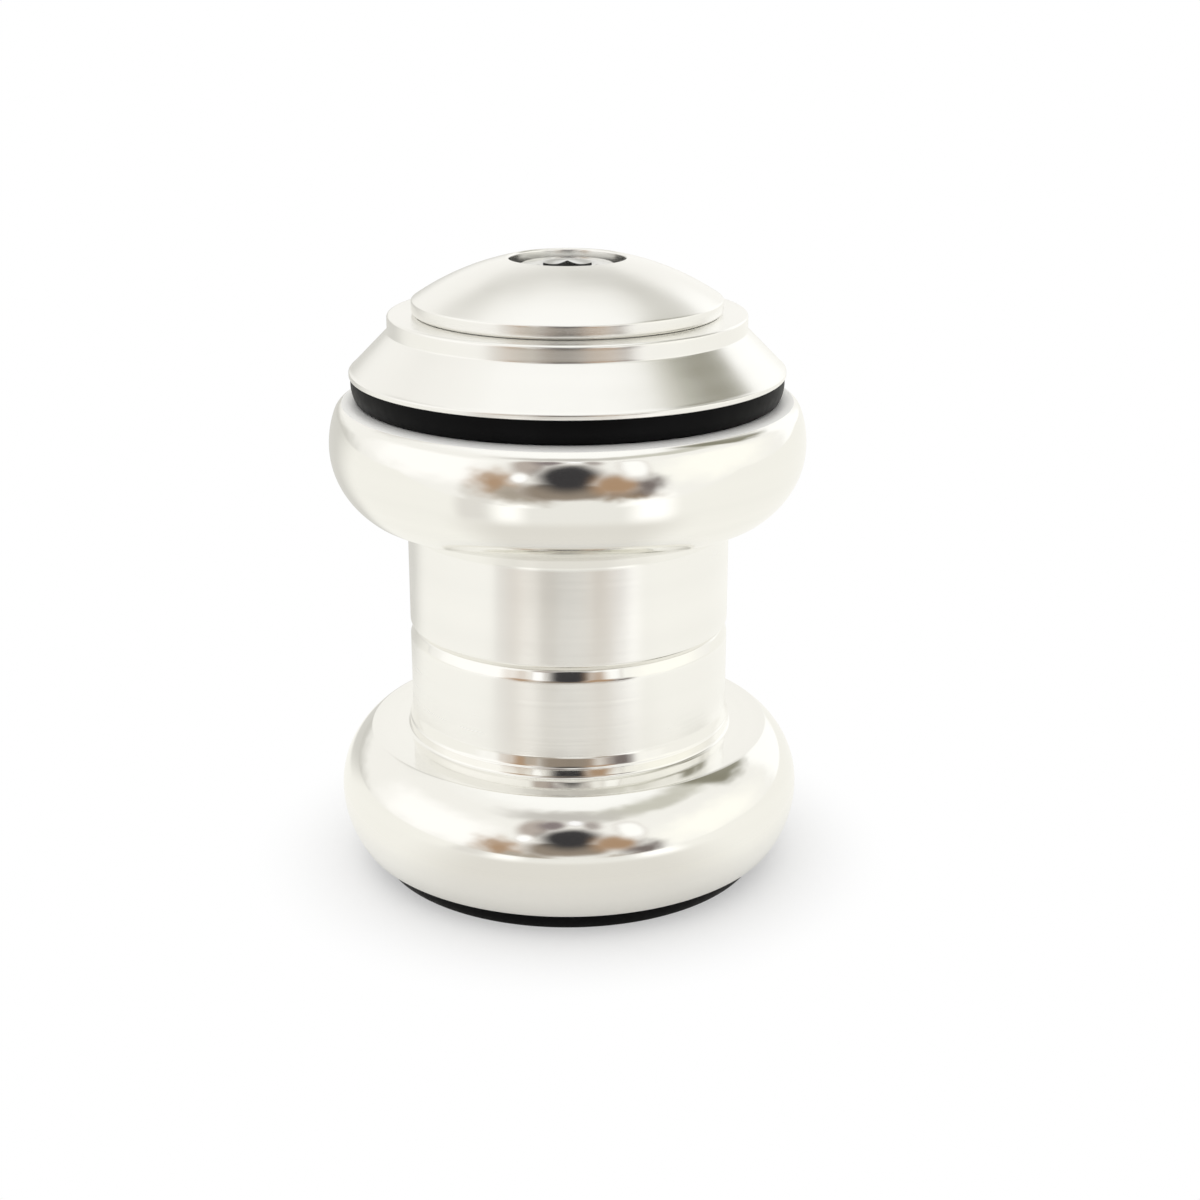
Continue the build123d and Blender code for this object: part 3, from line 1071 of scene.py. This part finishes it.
@dataclass(frozen=True)
class Strip:
    """Soft-edged upright strip of light or shade, by its turn from the front and half width, in degrees."""

    turn: float
    half: float
    level: Colour
    soft: float = 0.5

    def mask(self, graph: Graph, turn: Socket) -> Socket:
        """Returns a mask that is 1 inside the strip."""
        away = graph.math("DIVIDE", graph.math("SUBTRACT", turn, self.turn), self.half)
        reach = graph.math("ABSOLUTE", away)
        return graph.spread(reach, 1.0 - self.soft, 1.0 + self.soft, 1.0, 0.0)


def stage_plane(
    name: str, half: float, tilt: float, place: Place, material: bpy.types.Material
) -> bpy.types.Object:
    """Makes one square of the stage.

    Args:
        name: Its name.
        half: Half of its side, in metres.
        tilt: Its angle from the ground, about X.
        place: Its middle.
        material: Its material.

    Returns:
        The object.
    """
    bm = bmesh.new()
    bmesh.ops.create_grid(bm, x_segments=1, y_segments=1, size=half)
    bmesh.ops.rotate(bm, verts=bm.verts[:], cent=(0, 0, 0), matrix=Matrix.Rotation(tilt, 3, "X"))
    bmesh.ops.translate(bm, verts=bm.verts[:], vec=place)
    data = bpy.data.meshes.new(name)
    bm.to_mesh(data)
    bm.free()
    data.materials.append(material)
    plane = bpy.data.objects.new(name, data)
    bpy.context.scene.collection.objects.link(plane)
    return plane


@dataclass
class FrontCard:
    """Soft shades and lights in front of the headset, seen only in its metal, in millimetres."""

    away: float = 210.0
    half: float = 230.0
    sway: float = 26.0
    sway_pace: float = 14.0
    patches: tuple[Patch, ...] = (
        Patch(-70, 150, 34, 62, (0.5, 0.44, 0.4)),
        Patch(0, 36, 78, 32, (0.3, 0.25, 0.2), 0.3, 3),
        Patch(2, 90, 58, 54, (0.045, 0.043, 0.045), 0.4),
        Patch(82, 60, 40, 42, (0.44, 0.29, 0.18), 0.5, 3),
        Patch(-84, 84, 18, 20, (1.15, 1.15, 1.15), 0.4),
        Patch(-36, 172, 27, 36, (0.26, 0.22, 0.22), 0.5),
        Patch(44, 168, 18, 36, (0.42, 0.38, 0.36), 0.6),
        Patch(12, 194, 18, 26, (1.1, 1.1, 1.12), 0.4),
        Patch(122, 132, 34, 56, (1.12, 1.12, 1.1), 0.4, 3),
    )

    def build(self) -> None:
        """Stands the card behind the camera."""
        place = (0.0, -self.away * MM, self.half * MM)
        card = stage_plane("front_card", self.half * MM, math.pi / 2, place, self.make_material())
        card.visible_camera = False
        card.visible_diffuse = False
        card.visible_shadow = False

    def make_material(self) -> bpy.types.Material:
        """Draws the card's patches, clear everywhere else.

        Returns:
            The card's material.
        """
        material, graph, shader = new_material("front_card")
        material.node_tree.nodes.remove(shader)
        place = graph.place()
        x, _, z = graph.axes(place)
        inputs = {"Vector": place, "Scale": self.sway_pace, "Detail": 3.0}
        noise = graph.axes(graph.node("ShaderNodeTexNoise", inputs).outputs["Color"])
        across = graph.drift(graph.math("MULTIPLY", x, PER_METRE), noise[0], self.sway)
        along = graph.drift(graph.math("MULTIPLY", z, PER_METRE), noise[1], self.sway)
        tone: object = (*self.patches[0].level, 1)
        cover: object = 0.0
        for patch in self.patches:
            mask = patch.mask(graph, across, along)
            tone = graph.mix(mask, tone, (*patch.level, 1))
            cover = graph.math("MAXIMUM", cover, mask)
        clear = graph.node("ShaderNodeBsdfTransparent").outputs[0]
        graph.show(cover, clear, tone)
        return material


@dataclass
class Studio:
    """Pale floor, light tent, softbox and camera."""

    glare: Colour = (0.99, 0.98, 0.945)
    fill: float = 0.84
    patches: tuple[Patch, ...] = (
        Patch(0, 90, 360, 30, (1.08, 1.08, 1.06), 0.4, 8),
        Patch(-72, 16, 32, 17, (1.13, 1.12, 1.1), 0.4, 4),
        Patch(76, 12, 30, 15, (1.12, 1.11, 1.04), 0.6),
        Patch(140, 10, 17, 26, (1.14, 1.14, 1.12), 0.4, 4),
        Patch(-150, -6, 30, 14, (0.66, 0.65, 0.61), 0.5),
        Patch(60, 52, 60, 7, (0.64, 0.63, 0.56), 0.7, 4),
        Patch(116, 46, 16, 15, (0.27, 0.26, 0.2), 0.35, 4),
        Patch(-180, 43, 44, 9, (0.72, 0.71, 0.67), 0.6, 3),
        Patch(180, 43, 44, 9, (0.66, 0.65, 0.61), 0.6, 3),
        Patch(-3, 51, 34, 8, (0.6, 0.58, 0.55), 0.7),
        Patch(27, -9, 13, 6, (0.3, 0.22, 0.15), 0.6),
        Patch(36, 0, 9, 9, (0.2, 0.17, 0.16), 0.7),
        Patch(-34, 3, 10, 12, (0.46, 0.31, 0.2), 0.8),
        Patch(-20, -8, 14, 10, (0.42, 0.37, 0.31), 0.6),
    )
    strips: tuple[Strip, ...] = (
        Strip(-3, 38, (0.9, 0.89, 0.85), 0.3),
        Strip(-43, 7, (0.8, 0.78, 0.74), 0.6),
        Strip(-26, 6, (1.18, 1.17, 1.13), 0.8),
        Strip(37, 9, (1.22, 1.21, 1.18), 0.7),
        Strip(-156, 28, (0.7, 0.69, 0.65), 0.5),
    )
    sway: float = 14.0
    sway_pace: float = 7.0
    horizon: Span = (-2.0, 6.0)
    floor_size: float = 1.4
    floor_front: float = -0.12
    floor_colour: Colour = (0.94, 0.94, 0.935)
    floor_rough: float = 0.6
    floor_specular: float = 0.2
    floor_fade: Span = (0.0205, 0.036)
    floor_near: float = 0.38
    floor_mirrored: Colour = (0.98, 0.97, 0.92)
    # Painted shade: a grey band on the floor's glow in front of the object, seen only in the metal.
    front: Strip = Strip(0, 48, (0.8, 0.78, 0.73), 0.4)
    strips_from: Span = (0.055, 0.085)
    lamp_place: Place = (-0.3, 0.1, 0.9)
    lamp_aim: Place = (0.0, 0.0, 0.03)
    lamp_size: float = 1.2
    lamp_power: float = 1.6
    lens: float = 58.695
    sensor: float = 36.0
    clip_start: float = 0.01
    eye: Place = (-0.000375, -0.2004795, 0.0953311)
    yaw: float = 0.0187
    pitch: float = 0.322
    roll: float = 0.0012

    def make_world(self) -> None:
        """Makes the light tent: white for the camera, with soft patches for metal and a plain fill."""
        world = bpy.data.worlds.new("light_tent")
        world.use_nodes = True
        bpy.context.scene.world = world
        graph = Graph(world.node_tree)
        back = world.node_tree.nodes["Background"]
        way = graph.node("ShaderNodeTexCoord").outputs["Generated"]
        x, y, z = graph.axes(way)
        inputs = {"Vector": way, "Scale": self.sway_pace, "Detail": 2.0}
        noise = graph.axes(graph.node("ShaderNodeTexNoise", inputs).outputs["Color"])
        turn = graph.drift(graph.turn(x, y), noise[0], self.sway)
        rise = graph.math("DEGREES", graph.math("ARCSINE", z))
        rise = graph.drift(rise, noise[1], self.sway)
        low = graph.spread(rise, *self.horizon, 1.0, 0.0)
        tone = self.lay_strips(graph, turn, (*self.glare, 1), low)
        for patch in self.patches:
            tone = graph.mix(patch.mask(graph, turn, rise), tone, (*patch.level, 1))
        camera, seen = graph.sight()
        light = graph.mix(seen, (self.fill, self.fill, self.fill, 1), tone)
        graph.feed(back.inputs["Color"], graph.mix(camera, light, WHITE))
        back.inputs["Strength"].default_value = 1.0

    def lay_strips(self, graph: Graph, turn: Socket, under: object, share: Socket) -> Socket:
        """Lays the strips of light and shade, which the skirts show as streaks; on the floor they are
        painted light and shade.

        Args:
            graph: Graph that they are drawn in.
            turn: Turn from the front.
            under: Tone below them.
            share: Mask of where they are.

        Returns:
            The tone with the strips.
        """
        for strip in self.strips:
            mask = graph.math("MULTIPLY", strip.mask(graph, turn), share)
            under = graph.mix(mask, under, (*strip.level, 1))
        return under

    def make_floor(self) -> None:
        """Makes the pale floor, which fades to plain white away from the object; for rays that metal mirrors
        it glows, with painted shade in front of the object and painted streaks of light and shade farther
        out.
        """
        material, graph, shader = new_material("pale_floor")
        shader.inputs["Base Color"].default_value = (*self.floor_colour, 1)
        shader.inputs["Roughness"].default_value = self.floor_rough
        shader.inputs["Specular IOR Level"].default_value = self.floor_specular
        place = graph.place()
        away = graph.node("ShaderNodeVectorMath", {0: place}, operation="LENGTH").outputs["Value"]
        x, y, _ = graph.axes(place)
        turn = graph.turn(x, y)
        share = graph.spread(away, *self.strips_from, 0.0, 1.0)
        # Painted shade: mask of the grey band in front of the object, near it, for mirrored rays.
        near = graph.math("MULTIPLY", self.front.mask(graph, turn), graph.math("SUBTRACT", 1.0, share))
        tone = graph.mix(near, (*self.floor_mirrored, 1), (*self.front.level, 1))
        # Painted light and shade: the tent's strips laid on the floor's glow farther out.
        tone = self.lay_strips(graph, turn, tone, share)
        camera, seen = graph.sight()
        far = graph.spread(away, *self.floor_fade, self.floor_near, 1.0)
        tone = graph.mix(camera, tone, WHITE)
        graph.show(graph.math("MULTIPLY", far, seen), shader.outputs[0], tone)
        middle = (0.0, self.floor_size + self.floor_front, 0.0)
        floor = stage_plane("floor", self.floor_size, 0.0, middle, material)

    def make_lamp(self) -> None:
        """Hangs the softbox, which metal does not mirror."""
        lamp = bpy.data.lights.new("softbox", "AREA")
        lamp.shape = "SQUARE"
        lamp.size = self.lamp_size
        lamp.energy = self.lamp_power
        holder = bpy.data.objects.new("softbox", lamp)
        holder.location = self.lamp_place
        aim = Vector(self.lamp_aim) - Vector(self.lamp_place)
        holder.rotation_euler = aim.to_track_quat("-Z", "Y").to_euler()
        holder.visible_glossy = False
        bpy.context.scene.collection.objects.link(holder)

    def make_camera(self) -> None:
        """Places the camera at the photograph's viewpoint."""
        data = bpy.data.cameras.new("camera")
        data.lens = self.lens
        data.sensor_width = self.sensor
        data.clip_start = self.clip_start
        camera = bpy.data.objects.new("camera", data)
        turn = (
            Matrix.Rotation(-self.yaw, 4, "Z")
            @ Matrix.Rotation(math.pi / 2 - self.pitch, 4, "X")
            @ Matrix.Rotation(self.roll, 4, "Z")
        )
        camera.matrix_world = Matrix.Translation(self.eye) @ turn
        bpy.context.scene.collection.objects.link(camera)
        bpy.context.scene.camera = camera

    def build(self) -> None:
        """Builds the whole stage."""
        self.make_world()
        self.make_floor()
        FrontCard().build()
        self.make_lamp()
        self.make_camera()
        bpy.context.scene.view_settings.view_transform = "Standard"


def main() -> None:
    """Builds the dressed headset."""
    logging.basicConfig(level=logging.INFO)
    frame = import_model()
    finishes = Finishes()
    upper = Cup("upper_cup", 51.0, Way.DOWN, reach=4.7, skirt=13.0, lead=0.6, lip_edge=1.8)
    lower = Cup("lower_cup", 2.2, Way.UP, reach=6.0, skirt=11.5, lead=1.15, lip_edge=0.9)
    upper.build(finishes)
    lower.build(finishes)
    TopCover().build(finishes)
    TopCap().build(finishes)
    Bolt().build(finishes)
    LowerSeal().build(finishes)
    InnerWorks().dress(frame, finishes)
    Studio().build()


if __name__ == "__main__":
    main()
